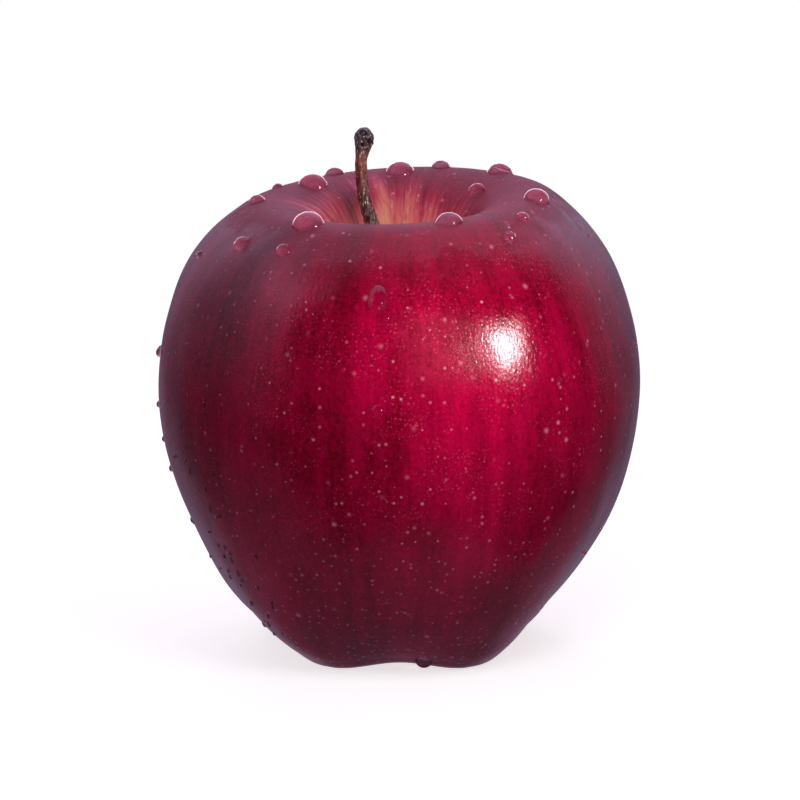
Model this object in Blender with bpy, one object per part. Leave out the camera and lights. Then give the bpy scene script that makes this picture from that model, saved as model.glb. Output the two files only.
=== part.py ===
"""A red apple of the Red Delicious type: fruit, stalk, dried calyx and standing water drops.

Units are metres and +Z is up, along the fruit's axis. The origin lies on the resting plane, under
the middle of the fruit. Azimuths run from the front (-Y) towards +X. Distances along the skin run
down a meridian from the rim of the stem cavity, and are negative inside the cavity.
"""
from bisect import bisect_right
from math import cos, exp, radians, sin, tau

import bmesh
import bpy
from mathutils import Vector

MM = 0.001

# Driving dimensions.
BODY_RADIUS = 39.8 * MM        # axis to the widest part of the cheeks
BODY_HEIGHT = 75.0 * MM        # lowest point of the uncut lobes to the rim of the stem cavity
LOBES = 5                      # ribs from the shoulder down to the crown under the fruit
FLAT_DEPTH = 0.25 * MM         # how far each lobe's tip is pressed flat where the fruit rests
GAP = 0.3 * MM                 # clearance between pieces that touch

# The meridian, as (radius / BODY_RADIUS, height / BODY_HEIGHT), from the stalk to the calyx.
CAVITY = ((0.046, 0.795), (0.12, 0.81), (0.22, 0.87), (0.36, 0.975))
RIM = (0.58, 1.0)
CHEEK = ((0.725, 0.95), (0.86, 0.865), (0.958, 0.74), (1.0, 0.60), (0.935, 0.36),
         (0.82, 0.215), (0.685, 0.10), (0.565, 0.026))
CROWN = (0.50, 0.0)
BASIN = ((0.34, 0.036), (0.19, 0.088), (0.05, 0.112))
CURVE_STEPS = 12               # steps between two neighbouring stations of a smooth curve

# How strongly the five ribs swell, as a share of the radius. Levels are heights / BODY_HEIGHT, and
# each pair of levels is where a change begins and where it is complete.
SWELL_SHOULDER = 0.010
SWELL_CHEEK = 0.009
SWELL_CROWN = 0.040
SHOULDER_LEVELS = (0.5, 1.0)
CROWN_LEVELS = (0.0, 0.5)
RIBLESS_RADII = (0.0, 0.4)     # the ribs fade out towards the axis between these radii / BODY_RADIUS

# The rim leans, the furrows lift the crown between its lobes, and the lower flank bulges towards -X.
RIM_TILT = 1.1 * MM            # the rim is this much higher on one side and lower on the other
RIM_TILT_AZIMUTH = radians(115)
RIM_TILT_WIDTH = 0.3           # how far the tilt reaches from the rim, as a share of BODY_RADIUS
RIM_TILT_LEVELS = (0.7, 1.0)
FURROW_RISE = 1.5 * MM
FURROW_RISE_WIDTH = 0.22       # how far the rise reaches from the crown, as a share of BODY_RADIUS
FURROW_RISE_LEVELS = (0.0, 0.25)
HEEL_LEAN = -0.8 * MM
HEEL_START_LEVELS = (0.0, 0.08)
HEEL_END_LEVELS = (0.10, 0.30)
HEEL_RADII = (0.25, 0.5)       # the lean fades out towards the axis between these radii / BODY_RADIUS

# Fineness of the fruit's mesh.
FRUIT_COLUMNS = 60
FRUIT_ROWS = 48
PROBE = 0.2 * MM               # the step over which the skin's slope is measured
SHARP_ANGLE = radians(50)      # edges sharper than this are not shaded smooth

# The stalk, as (sideways, backwards, height above the cavity's floor, radius) in millimetres.
STEM_STATIONS = ((0.0, 0.0, -1.65, 1.35), (0.0, 0.0, 0.8, 1.35), (-1.5, -0.1, 5.0, 1.2),
                 (-3.45, -0.2, 8.8, 1.15), (-4.95, -0.2, 12.0, 1.1), (-5.85, -0.1, 15.5, 1.0),
                 (-6.3, 0.0, 19.0, 0.95), (-6.35, 0.2, 21.5, 0.95), (-6.15, 0.4, 23.6, 1.25),
                 (-5.9, 0.5, 25.1, 1.65), (-5.8, 0.5, 26.0, 1.45), (-5.75, 0.55, 26.5, 0.85))
STEM_SIDES = 12
STEM_STEPS = 3                 # rings between two neighbouring stations of the stalk
STEM_TIP = 0.25 * MM           # height of the round end over the last station
SOCKET_DEPTH = 2.0 * MM

# The dried calyx: one sepal as (distance from the axis, depth below the basin's roof) in
# millimetres, with the width and the thickness there.
SEPAL_STATIONS = ((2.0, 0.7, 2.0, 0.7), (2.2, 1.8, 2.5, 0.7), (2.6, 3.0, 2.7, 0.65),
                  (3.3, 4.1, 2.2, 0.6), (4.5, 4.6, 1.5, 0.5), (5.8, 4.3, 0.5, 0.35))
SEPAL_SIDES = 8
SEPAL_STEPS = 2

# The dried stamens: a pleated tuft, as (share of its length, radius / STAMENS_RADIUS).
STAMENS_RADIUS = 1.1 * MM
STAMENS_LENGTH = 2.6 * MM
STAMENS_DEPTH = 0.6 * MM       # its top lies this far below the basin's roof
STAMENS_STATIONS = ((0.0, 0.75), (0.3, 0.9), (0.7, 1.0), (1.0, 0.6))
STAMENS_PLEAT = 0.8            # the radius in the pleats / the radius between them
STAMENS_SIDES = 10

# Water drops, as (azimuth in degrees, distance along the skin, width, length down the slope,
# height), with the sizes in millimetres. Most stand on the rim and the shoulders. Two cling to the
# front, one below the other, and the last one hangs under the front furrow.
WATER_DROPS = (
    (209, -0.2, 3.4, 3.4, 0.95),
    (228, -3.7, 5.0, 4.8, 1.45),
    (240, 0.3, 2.0, 2.0, 0.5),
    (265, 0.3, 3.0, 2.9, 0.85),
    (319, -1.2, 5.8, 5.5, 1.7),
    (299, 7.3, 2.9, 3.2, 0.9),
    (320, 6.3, 2.8, 2.7, 0.8),
    (180, -3.7, 4.8, 4.7, 1.4),
    (162, -0.7, 3.4, 3.3, 1.0),
    (133, -0.2, 4.6, 4.5, 1.4),
    (124, -8.2, 3.5, 3.4, 1.0),
    (77, -0.2, 4.4, 4.3, 1.35),
    (52, 1.8, 2.3, 2.3, 0.7),
    (21, -1.7, 4.6, 4.4, 1.35),
    (39, 4.8, 2.7, 2.7, 0.8),
    (354, 14.3, 3.5, 4.8, 1.15),
    (355, 31.8, 2.4, 2.3, 0.7),
    (11, 85.2, 2.9, 2.0, 0.8),
)
DROP_SIDES = 12
DROP_RINGS = 4
DROP_EDGE_ANGLE = radians(64)  # the angle between the water's surface and the skin at the edge

COLOURS = {
    "skin": (0.30, 0.006, 0.030, 1.0),
    "bark": (0.090, 0.035, 0.018, 1.0),
    "dried_leaf": (0.10, 0.060, 0.030, 1.0),
    "water": (0.85, 0.90, 0.92, 1.0),
}
ROUGHNESS = {"skin": 0.25, "bark": 0.7, "dried_leaf": 0.8, "water": 0.05}


def smooth_step(low, high, value):
    """Rise from 0 at low to 1 at high, level at both ends."""
    share = min(max((value - low) / (high - low), 0.0), 1.0)
    return share * share * (3.0 - 2.0 * share)


def smooth_curve(stations, steps):
    """A smooth curve through the stations, as a list of vectors with steps points per span."""
    points = [Vector(station) for station in stations]
    spans = [(after - before).length for before, after in zip(points, points[1:])]
    slopes = [(after - before) / span for before, after, span in zip(points, points[1:], spans)]
    tangents = [slopes[0]]
    for index in range(1, len(points) - 1):
        before, after = spans[index - 1], spans[index]
        blend = slopes[index - 1] * after + slopes[index] * before
        tangents.append(blend / (before + after))
    tangents.append(slopes[-1])
    curve = []
    for index, span in enumerate(spans):
        leaving, arriving = tangents[index] * span, tangents[index + 1] * span
        for step in range(steps):
            t = step / steps
            start = points[index] * (2 * t**3 - 3 * t**2 + 1) + leaving * (t**3 - 2 * t**2 + t)
            end = points[index + 1] * (3 * t**2 - 2 * t**3) + arriving * (t**3 - t**2)
            curve.append(start + end)
    curve.append(points[-1])
    return curve


class Skin:
    """The outside of the fruit, as a function of the distance along it and the azimuth."""

    def __init__(self):
        stations = CAVITY + (RIM,) + CHEEK + (CROWN,) + BASIN
        scaled = [(radius * BODY_RADIUS, height * BODY_HEIGHT) for radius, height in stations]
        self.meridian = smooth_curve(scaled, CURVE_STEPS)
        self.lengths = [0.0]
        for before, after in zip(self.meridian, self.meridian[1:]):
            self.lengths.append(self.lengths[-1] + (after - before).length)
        self.rim = self.lengths[len(CAVITY) * CURVE_STEPS]
        self.start = -self.rim
        self.end = self.lengths[-1] - self.rim

    def meridian_at(self, distance):
        """Radius and height of the plain meridian, before the ribs shape it."""
        length = min(max(distance + self.rim, 0.0), self.lengths[-1])
        index = min(bisect_right(self.lengths, length), len(self.lengths) - 1)
        before = self.lengths[index - 1]
        share = (length - before) / (self.lengths[index] - before)
        return self.meridian[index - 1].lerp(self.meridian[index], share)

    def point(self, distance, azimuth):
        """A point of the skin: the meridian, swollen by the ribs, tilted at the rim and leaning below."""
        radius, height = self.meridian_at(distance)
        spread = radius / BODY_RADIUS
        level = height / BODY_HEIGHT
        crest = -cos(LOBES * azimuth)
        swell = SWELL_CHEEK
        swell += (SWELL_SHOULDER - SWELL_CHEEK) * smooth_step(*SHOULDER_LEVELS, level)
        swell += (SWELL_CROWN - SWELL_CHEEK) * (1.0 - smooth_step(*CROWN_LEVELS, level))
        radius *= 1.0 + swell * crest * smooth_step(*RIBLESS_RADII, spread)
        near_rim = exp(-(((spread - RIM[0]) / RIM_TILT_WIDTH) ** 2))
        tilt = RIM_TILT * near_rim * smooth_step(*RIM_TILT_LEVELS, level)
        height += tilt * cos(azimuth - RIM_TILT_AZIMUTH)
        near_crown = exp(-(((spread - CROWN[0]) / FURROW_RISE_WIDTH) ** 2))
        rise = FURROW_RISE * near_crown * (1.0 - smooth_step(*FURROW_RISE_LEVELS, level))
        height += rise * (1.0 - crest) / 2.0
        heel = smooth_step(*HEEL_START_LEVELS, level) * (1.0 - smooth_step(*HEEL_END_LEVELS, level))
        lean = HEEL_LEAN * heel * smooth_step(*HEEL_RADII, spread)
        return Vector((radius * sin(azimuth) + lean, -radius * cos(azimuth), height - FLAT_DEPTH))

    def frame(self, distance, azimuth):
        """The point, its outward normal, and the skin's lengths per unit of distance and azimuth."""
        turn = PROBE / max(self.meridian_at(distance)[0], PROBE)
        down = (self.point(distance + PROBE, azimuth) - self.point(distance - PROBE, azimuth)) / (2 * PROBE)
        around = (self.point(distance, azimuth + turn) - self.point(distance, azimuth - turn)) / (2 * turn)
        normal = down.cross(around).normalized()
        return self.point(distance, azimuth), normal, down.length, around.length

    def raised(self, distance, azimuth, height):
        """A point at a height over the skin."""
        point, normal, _, _ = self.frame(distance, azimuth)
        return point + normal * height


def make_material(name):
    """A plain Principled material in one of the named colours."""
    material = bpy.data.materials.new(name)
    material.use_nodes = True
    shader = material.node_tree.nodes["Principled BSDF"]
    shader.inputs["Base Color"].default_value = COLOURS[name]
    shader.inputs["Roughness"].default_value = ROUGHNESS[name]
    shader.inputs["Metallic"].default_value = 0.0
    material.diffuse_color = COLOURS[name]
    return material


def loft(bm, rings, start_pole, end_pole):
    """Bridge closed rings of equal count one after another, and close both ends on a pole."""
    loops = [[bm.verts.new(point) for point in ring] for ring in rings]
    for before, after in zip(loops, loops[1:]):
        for index in range(len(before)):
            following = (index + 1) % len(before)
            bm.faces.new((before[index], before[following], after[following], after[index]))
    for loop, pole in ((loops[0][::-1], start_pole), (loops[-1], end_pole)):
        centre = bm.verts.new(pole)
        for index in range(len(loop)):
            bm.faces.new((loop[index], loop[(index + 1) % len(loop)], centre))
    bmesh.ops.recalc_face_normals(bm, faces=bm.faces)


def add_object(name, bm, material, parent):
    """Turn a finished bmesh into a smooth-shaded object under the parent."""
    mesh = bpy.data.meshes.new(name)
    bm.to_mesh(mesh)
    bm.free()
    mesh.materials.append(material)
    mesh.shade_smooth()
    mesh.set_sharp_from_angle(angle=SHARP_ANGLE)
    node = bpy.data.objects.new(name, mesh)
    bpy.context.scene.collection.objects.link(node)
    node.parent = parent
    return node


def make_fruit(skin, material, parent):
    """The fruit: one solid with the stem cavity, the stalk's socket, the ribs and the basin."""
    azimuths = [tau * column / FRUIT_COLUMNS for column in range(FRUIT_COLUMNS)]
    mouth = [skin.point(skin.start, azimuth) for azimuth in azimuths]
    floor = [point - Vector((0.0, 0.0, SOCKET_DEPTH)) for point in mouth]
    rings = [floor]
    for row in range(FRUIT_ROWS + 1):
        distance = skin.start + (skin.end - skin.start) * row / FRUIT_ROWS
        rings.append([skin.point(distance, azimuth) for azimuth in azimuths])
    floor_pole = sum(floor, Vector()) / FRUIT_COLUMNS
    roof_pole = sum(rings[-1], Vector()) / FRUIT_COLUMNS
    bm = bmesh.new()
    loft(bm, rings, floor_pole, roof_pole)
    press_flat(bm)
    return add_object("fruit", bm, material, parent)


def press_flat(bm):
    """Cut the tips of the crown's lobes off at the resting plane, and close each cut flat."""
    everything = bm.verts[:] + bm.edges[:] + bm.faces[:]
    bmesh.ops.bisect_plane(bm, geom=everything, dist=1e-7, plane_co=(0, 0, 0), plane_no=(0, 0, 1),
                           clear_inner=True)
    rims = [edge for edge in bm.edges if edge.is_boundary]
    bmesh.ops.edgeloop_fill(bm, edges=rims)
    bmesh.ops.recalc_face_normals(bm, faces=bm.faces)


def ring_round(centre, along, across, width, thickness, sides):
    """A closed ring round a centre, square to a direction: width lies along across."""
    side = (across - along * across.dot(along)).normalized()
    up = along.cross(side)
    ring = []
    for index in range(sides):
        turn = tau * index / sides
        ring.append(centre + side * (cos(turn) * width / 2) + up * (sin(turn) * thickness / 2))
    return ring


def directions_along(points):
    """The unit direction of a polyline at each of its points."""
    last = len(points) - 1
    return [(points[min(index + 1, last)] - points[max(index - 1, 0)]).normalized()
            for index in range(len(points))]


def make_stem(skin, material, parent):
    """The woody stalk: a bent rod that thickens towards its root and ends in a knob."""
    cavity_floor = skin.point(skin.start, 0.0).z
    curve = smooth_curve(STEM_STATIONS, STEM_STEPS)
    centres = [Vector((x, y, z)) * MM + Vector((0.0, 0.0, cavity_floor)) for x, y, z, _ in curve]
    rings = []
    for centre, direction, station in zip(centres, directions_along(centres), curve):
        width = 2 * station[3] * MM
        rings.append(ring_round(centre, direction, Vector((0, 1, 0)), width, width, STEM_SIDES))
    top_pole = centres[-1] + Vector((0.0, 0.0, STEM_TIP))
    bm = bmesh.new()
    loft(bm, rings, centres[0], top_pole)
    return add_object("stem", bm, material, parent)


def make_sepal(number, roof, material, parent):
    """One dried sepal: a thin leaf that hangs from the basin's roof and curls outwards."""
    curve = smooth_curve(SEPAL_STATIONS, SEPAL_STEPS)
    azimuth = tau * (number - 0.5) / LOBES
    outward = Vector((sin(azimuth), -cos(azimuth), 0.0))
    across = Vector((cos(azimuth), sin(azimuth), 0.0))
    centres = []
    for radius, depth, _, _ in curve:
        centres.append(outward * radius * MM + Vector((0.0, 0.0, roof - depth * MM)))
    rings = []
    for centre, direction, station in zip(centres, directions_along(centres), curve):
        rings.append(ring_round(centre, direction, across, station[2] * MM, station[3] * MM, SEPAL_SIDES))
    bm = bmesh.new()
    loft(bm, rings, centres[0], centres[-1])
    return add_object(f"sepal_{number}", bm, material, parent)


def make_stamens(roof, material, parent):
    """The dried remains of the stamens: a small rough tuft in the middle of the sepals."""
    rings = []
    for share, spread in STAMENS_STATIONS:
        height = roof - STAMENS_DEPTH - share * STAMENS_LENGTH
        ring = []
        for index in range(STAMENS_SIDES):
            turn = tau * index / STAMENS_SIDES
            radius = STAMENS_RADIUS * spread * (1.0 if index % 2 else STAMENS_PLEAT)
            ring.append(Vector((radius * cos(turn), radius * sin(turn), height)))
        rings.append(ring)
    bm = bmesh.new()
    loft(bm, rings, sum(rings[0], Vector()) / STAMENS_SIDES, sum(rings[-1], Vector()) / STAMENS_SIDES)
    return add_object("dried_stamens", bm, material, parent)


def make_drop(number, skin, material, parent):
    """A standing drop of water: a round cap over the skin, with its underside along the skin."""
    azimuth, distance, width, length, height = WATER_DROPS[number - 1]
    azimuth, distance = radians(azimuth), distance * MM
    centre, normal, per_distance, per_azimuth = skin.frame(distance, azimuth)
    rings = []
    for ring_number in range(DROP_RINGS):
        slope = DROP_EDGE_ANGLE * (1.0 - ring_number / DROP_RINGS)
        spread = sin(slope) / sin(DROP_EDGE_ANGLE)
        rise = (cos(slope) - cos(DROP_EDGE_ANGLE)) / (1.0 - cos(DROP_EDGE_ANGLE))
        ring = []
        for index in range(DROP_SIDES):
            turn = tau * index / DROP_SIDES
            down = length / 2 * MM * spread * sin(turn) / per_distance
            around = width / 2 * MM * spread * cos(turn) / per_azimuth
            ring.append(skin.raised(distance + down, azimuth + around, GAP + height * MM * rise))
        rings.append(ring)
    bm = bmesh.new()
    loft(bm, rings, centre + normal * GAP, centre + normal * (GAP + height * MM))
    return add_object(f"water_drop_{number:02d}", bm, material, parent)


def main():
    for item in list(bpy.data.objects):
        bpy.data.objects.remove(item, do_unlink=True)
    materials = {name: make_material(name) for name in COLOURS}
    skin = Skin()
    apple = bpy.data.objects.new("apple", None)
    bpy.context.scene.collection.objects.link(apple)
    # A rib's crest is at the back and a furrow at the front: this centres the fruit on the origin.
    apple.location = (0.0, -BODY_RADIUS * SWELL_CHEEK, 0.0)
    make_fruit(skin, materials["skin"], apple)
    make_stem(skin, materials["bark"], apple)
    roof = skin.point(skin.end, 0.0).z
    for number in range(1, LOBES + 1):
        make_sepal(number, roof, materials["dried_leaf"], apple)
    make_stamens(roof, materials["dried_leaf"], apple)
    for number in range(1, len(WATER_DROPS) + 1):
        make_drop(number, skin, materials["water"], apple)
    bpy.context.view_layer.update()


main()
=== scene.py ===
import math

import bpy
import numpy as np
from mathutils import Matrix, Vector, noise as turbulence


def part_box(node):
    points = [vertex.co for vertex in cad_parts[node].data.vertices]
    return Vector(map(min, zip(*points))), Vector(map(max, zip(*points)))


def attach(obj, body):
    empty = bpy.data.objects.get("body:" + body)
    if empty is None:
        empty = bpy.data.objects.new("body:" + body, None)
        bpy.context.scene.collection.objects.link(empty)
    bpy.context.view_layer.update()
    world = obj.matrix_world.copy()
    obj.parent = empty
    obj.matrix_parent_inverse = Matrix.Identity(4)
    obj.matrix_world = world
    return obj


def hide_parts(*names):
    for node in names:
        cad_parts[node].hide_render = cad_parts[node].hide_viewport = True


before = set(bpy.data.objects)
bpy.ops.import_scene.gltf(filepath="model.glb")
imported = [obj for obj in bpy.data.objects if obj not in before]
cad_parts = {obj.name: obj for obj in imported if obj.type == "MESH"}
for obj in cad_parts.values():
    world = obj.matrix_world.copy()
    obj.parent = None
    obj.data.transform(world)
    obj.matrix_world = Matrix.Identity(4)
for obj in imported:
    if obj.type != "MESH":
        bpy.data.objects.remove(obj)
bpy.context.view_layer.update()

MM = 0.001

# The meridian of the fruit as in the CAD model: (radius / body radius, height / body height).
CAVITY = ((0.030, 0.790), (0.12, 0.81), (0.22, 0.87), (0.36, 0.975))
RIM = (0.58, 1.0)
CHEEK = ((0.725, 0.95), (0.86, 0.865), (0.958, 0.74), (1.0, 0.60), (0.935, 0.36),
         (0.82, 0.215), (0.685, 0.10), (0.565, 0.026))
CROWN = (0.50, 0.0)
BASIN = ((0.34, 0.036), (0.19, 0.088), (0.05, 0.112), (0.010, 0.114))
LOBES = 5
SWELL_SHOULDER = 0.010
SWELL_CHEEK = 0.009
SWELL_CROWN = 0.040
SHOULDER_LEVELS = (0.5, 1.0)
CROWN_LEVELS = (0.0, 0.5)
RIBLESS_RADII = (0.0, 0.4)
RIM_TILT = 1.1 * MM
RIM_TILT_AZIMUTH = math.radians(115)
RIM_TILT_WIDTH = 0.3
RIM_TILT_LEVELS = (0.7, 1.0)
FURROW_RISE = 1.5 * MM
FURROW_RISE_WIDTH = 0.22
FURROW_RISE_LEVELS = (0.0, 0.25)
HEEL_LEAN = -0.8 * MM
HEEL_START_LEVELS = (0.0, 0.08)
HEEL_END_LEVELS = (0.10, 0.30)
HEEL_RADII = (0.25, 0.5)
FLAT_DEPTH = 0.25 * MM
BODY_RADIUS = 39.8 * MM
BODY_HEIGHT = 75.0 * MM

SKIN_COLUMNS = 380
SKIN_ROWS = 250
CURVE_STEPS = 40               # points of the meridian per span
SEARCH_ROWS = 1400             # places down the skin that a vertex is compared with
PROBE = 0.15 * MM              # half the distance over which slopes and scales are measured

CAD_GAP = 0.3 * MM             # the clearance that the CAD pieces keep
DROP_SINK = 0.05 * MM          # how far a drop reaches under the skin, so that no air shows between
EDGE_ANGLE = math.radians(67)  # between the water's surface and the skin
STEEP_EDGE_ANGLE = math.radians(72)  # the same for the drops that hang on a steep wall
STEEP_RISE = 0.7               # a wall is steep where its normal's upward part is below this
SAG = 0.05                     # how far a drop's top hangs down, as a share of half its length
STEEP_SAG = 0.22
DROP_RINGS, DROP_SIDES = 24, 64
PHASES = (0.0, 6.28)

# The small droplets. Distances down from the rim and widths are in mm, azimuths in degrees.
LEFT_DROPLETS = 34
SIDE_DROPLETS = 40
MIST_DROPLETS = 26
LEFT_DISTANCES = (34, 79)
LEFT_AZIMUTH, LEFT_TURN, LEFT_SPREAD = -58, 0.25, 7.0
SIDE_DISTANCES, SIDE_AZIMUTHS = (8, 79), (60, 300)
MIST_DISTANCES = (16.8, 21)
MIST_AZIMUTH, MIST_SPREAD = -2, 3.2
# Those that stand out against the left outline: (distance, azimuth, width).
OUTLINE_DROPLETS = ((31.8, 271, 2.0), (41, 270, 1.2), (47, 270, 1.1), (52, 271, 1.3), (13.3, 276, 1.3))
OUTLINE_LENGTH = 1.15          # length as a share of the width
DROPLET_HEIGHT = 0.38          # height as a share of the width
DROPLET_SAG = 0.2
DROPLET_RINGS, DROPLET_SIDES = 7, 16

STALK_ROWS, STALK_SIDES = 190, 64
STALK_SOFTNESS = 0.7 * MM      # height over which the CAD stalk's vertices are averaged
KNOB = (0.86, 0.93)            # shares of the stalk's height between which its knob begins
KNOB_TIP = 0.965               # share at which the knob starts to round off
KNOB_ROUNDING = 0.035          # and the share over which it does so
GRAIN_SIZE, LUMP_SIZE = 0.55 * MM, 0.8 * MM
SEPAL_CRUMPLE, SEPAL_CRUMPLE_SIZE = 0.10 * MM, 0.9 * MM

STRANDS, STRAND_STEPS, STRAND_SIDES = 18, 14, 8
STRAND_RADIUS = 0.085 * MM
TUFT_RADIUS = 0.75 * MM
STRAND_BEND = 0.45 * MM
GOLDEN_ANGLE = 2.399963

# Slight unevenness of the skin: (waves round the fruit, wavelength down it in mm, height in mm, phase).
WAVES = ((3, 61.0, 0.16, 0.4), (7, 37.0, 0.07, 1.9), (11, 23.0, 0.045, 3.1), (16, 17.0, 0.03, 5.0),
         (29, 31.0, 0.018, 2.2))
WAVE_RADII = (0.15, 0.5)       # the waves fade in between these shares of the body's radius
WAVE_LEVELS = (0.0, 0.1)       # and between these shares of its height

CAMERA_ELEVATION = math.radians(14.7)
CAMERA_DISTANCE = 0.6
CAMERA_TARGET = Vector((0.0, 0.0, 0.04045))
VIEW_WIDTH = 0.13248           # metres across the picture at the target

SENSOR_WIDTH = 36.0            # mm

APPLE_MIDDLE = Vector((0, 0, 0.04))
CAVITY_LIGHT_PLACE = Vector((0.02, -0.12, 0.21))
CAVITY_LIGHT_TARGET = Vector((0.0, 0.006, 0.068))
FLOOR_REACH = 4.0
FLOOR_CLEARANCE = 0.1 * MM     # between the floor and the flats that the apple stands on
SHADOW_RADII = (0.08, 0.26)    # the floor turns from shaded to plain white between these distances

# The studio's brightness against height: 0 is straight down, 0.5 the horizon and 1 straight up.
STUDIO_GREYS = ((0.0, 0.09), (0.15, 0.13), (0.25, 0.075), (0.33, 0.047), (0.415, 0.041), (0.50, 0.10),
                (0.585, 0.19), (0.67, 0.33), (0.75, 0.50), (0.82, 0.74), (0.93, 0.87), (1.0, 0.77))
STUDIO_COLOUR = (1.25, 1.0, 1.5, 1)
THROUGH_WATER_COLOUR = (0.50, 0.28, 0.42, 1)
WHITE = (1, 1, 1, 1)


# ---------------------------------------------------------------- shape

def smooth_step(low, high, value):
    """0 below low, 1 above high, smooth between."""
    share = np.clip((value - low) / (high - low), 0.0, 1.0)
    return share * share * (3.0 - 2.0 * share)


def smooth_curve(stations, steps):
    """A smooth curve through the stations, as an array with steps points per span."""
    points = np.array(stations, float)
    spans = np.linalg.norm(np.diff(points, axis=0), axis=1)
    slopes = np.diff(points, axis=0) / spans[:, None]
    before, after = spans[:-1, None], spans[1:, None]
    inner = (slopes[:-1] * after + slopes[1:] * before) / (before + after)
    tangents = np.vstack([slopes[:1], inner, slopes[-1:]])
    t = (np.arange(steps) / steps)[:, None]
    curve = []
    for index, span in enumerate(spans):
        curve.append((2 * t**3 - 3 * t**2 + 1) * points[index]
                     + (t**3 - 2 * t**2 + t) * span * tangents[index]
                     + (3 * t**2 - 2 * t**3) * points[index + 1]
                     + (t**3 - t**2) * span * tangents[index + 1])
    return np.vstack(curve + [points[-1:]])


class Skin:
    """The fruit's outside as a function of the distance down from the rim and the azimuth."""

    def __init__(self):
        stations = np.array(CAVITY + (RIM,) + CHEEK + (CROWN,) + BASIN)
        self.meridian = smooth_curve(stations * (BODY_RADIUS, BODY_HEIGHT), CURVE_STEPS)
        pieces = np.linalg.norm(np.diff(self.meridian, axis=0), axis=1)
        self.lengths = np.concatenate([[0.0], np.cumsum(pieces)])
        self.lengths -= self.lengths[len(CAVITY) * CURVE_STEPS]
        self.start, self.end = self.lengths[0], self.lengths[-1]

    def plain(self, distance):
        """Radius and height on the plain meridian, before lobes, tilt and waves."""
        radius = np.interp(distance, self.lengths, self.meridian[:, 0])
        return radius, np.interp(distance, self.lengths, self.meridian[:, 1])

    def unevenness(self, distance, azimuth):
        """The slight waves of the skin, as a change of radius."""
        total = 0.0
        for count, length, height, phase in WAVES:
            down = np.sin(2 * math.pi * distance / (length * MM) + 2.0 * phase)
            total = total + height * MM * np.sin(count * azimuth + phase + down)
        return total

    def points(self, distance, azimuth):
        """Points of the skin for arrays of distances and azimuths, as an array (..., 3)."""
        distance, azimuth = np.broadcast_arrays(np.asarray(distance, float), np.asarray(azimuth, float))
        radius, height = self.plain(distance)
        spread = radius / BODY_RADIUS
        level = height / BODY_HEIGHT
        crest = -np.cos(LOBES * azimuth)
        swell = SWELL_CHEEK
        swell = swell + (SWELL_SHOULDER - SWELL_CHEEK) * smooth_step(*SHOULDER_LEVELS, level)
        swell = swell + (SWELL_CROWN - SWELL_CHEEK) * (1.0 - smooth_step(*CROWN_LEVELS, level))
        radius = radius * (1.0 + swell * crest * smooth_step(*RIBLESS_RADII, spread))
        near_rim = np.exp(-(((spread - RIM[0]) / RIM_TILT_WIDTH) ** 2))
        tilt = RIM_TILT * near_rim * smooth_step(*RIM_TILT_LEVELS, level)
        height = height + tilt * np.cos(azimuth - RIM_TILT_AZIMUTH)
        near_crown = np.exp(-(((spread - CROWN[0]) / FURROW_RISE_WIDTH) ** 2))
        rise = FURROW_RISE * near_crown * (1.0 - smooth_step(*FURROW_RISE_LEVELS, level))
        height = height + rise * (1.0 - crest) / 2.0
        heel = smooth_step(*HEEL_START_LEVELS, level) * (1.0 - smooth_step(*HEEL_END_LEVELS, level))
        lean = HEEL_LEAN * heel * smooth_step(*HEEL_RADII, spread)
        waves = self.unevenness(distance, azimuth) * smooth_step(*WAVE_RADII, spread)
        radius = radius + waves * smooth_step(*WAVE_LEVELS, level)
        x = radius * np.sin(azimuth) + lean
        y = -radius * np.cos(azimuth) - BODY_RADIUS * SWELL_CHEEK
        return np.stack([x, y, np.maximum(height - FLAT_DEPTH, 0.0)], -1)

    def normals(self, distance, azimuth):
        """The outward directions of length 1 at the same places as points()."""
        turn = PROBE / np.maximum(self.plain(distance)[0], PROBE)
        down = self.points(distance + PROBE, azimuth) - self.points(distance - PROBE, azimuth)
        around = self.points(distance, azimuth + turn) - self.points(distance, azimuth - turn)
        normal = np.cross(down, around)
        return normal / np.linalg.norm(normal, axis=-1, keepdims=True)


def grid_object(name, points, close_start, close_end):
    """A smooth mesh of rows of closed rings: points is (rows, columns, 3). The ends close on a pole."""
    rows, columns, _ = points.shape
    vertices = points.reshape(-1, 3)
    row, column = np.meshgrid(np.arange(rows - 1), np.arange(columns), indexing="ij")
    following = (column + 1) % columns
    corners = np.stack([row * columns + column, (row + 1) * columns + column,
                        (row + 1) * columns + following, row * columns + following], -1).reshape(-1, 4)
    faces = [tuple(face) for face in corners.tolist()]
    vertices = vertices.tolist()
    for used, ring, flip in ((close_start, 0, False), (close_end, rows - 1, True)):
        if not used:
            continue
        pole = len(vertices)
        vertices.append(points[ring].mean(axis=0).tolist())
        for index in range(columns):
            first, second = ring * columns + index, ring * columns + (index + 1) % columns
            faces.append((second, first, pole) if flip else (first, second, pole))
    mesh = bpy.data.meshes.new(name)
    mesh.from_pydata(vertices, [], faces)
    mesh.update()
    mesh.shade_smooth()
    item = bpy.data.objects.new(name, mesh)
    bpy.context.scene.collection.objects.link(item)
    return item


def join_pieces(pieces, name):
    """Joins the pieces into the first one, under the given name."""
    with bpy.context.temp_override(active_object=pieces[0], selected_editable_objects=pieces,
                                   selected_objects=pieces):
        bpy.ops.object.join()
    pieces[0].name = name
    return pieces[0]


def add_attribute(item, name, values):
    """A number or a vector per vertex that the material reads."""
    values = np.asarray(values, np.float32)
    kind = "FLOAT" if values.ndim == 1 else "FLOAT_VECTOR"
    layer = item.data.attributes.new(name, kind, "POINT")
    layer.data.foreach_set("value" if values.ndim == 1 else "vector", values.ravel())


# ---------------------------------------------------------------- node helpers

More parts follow.
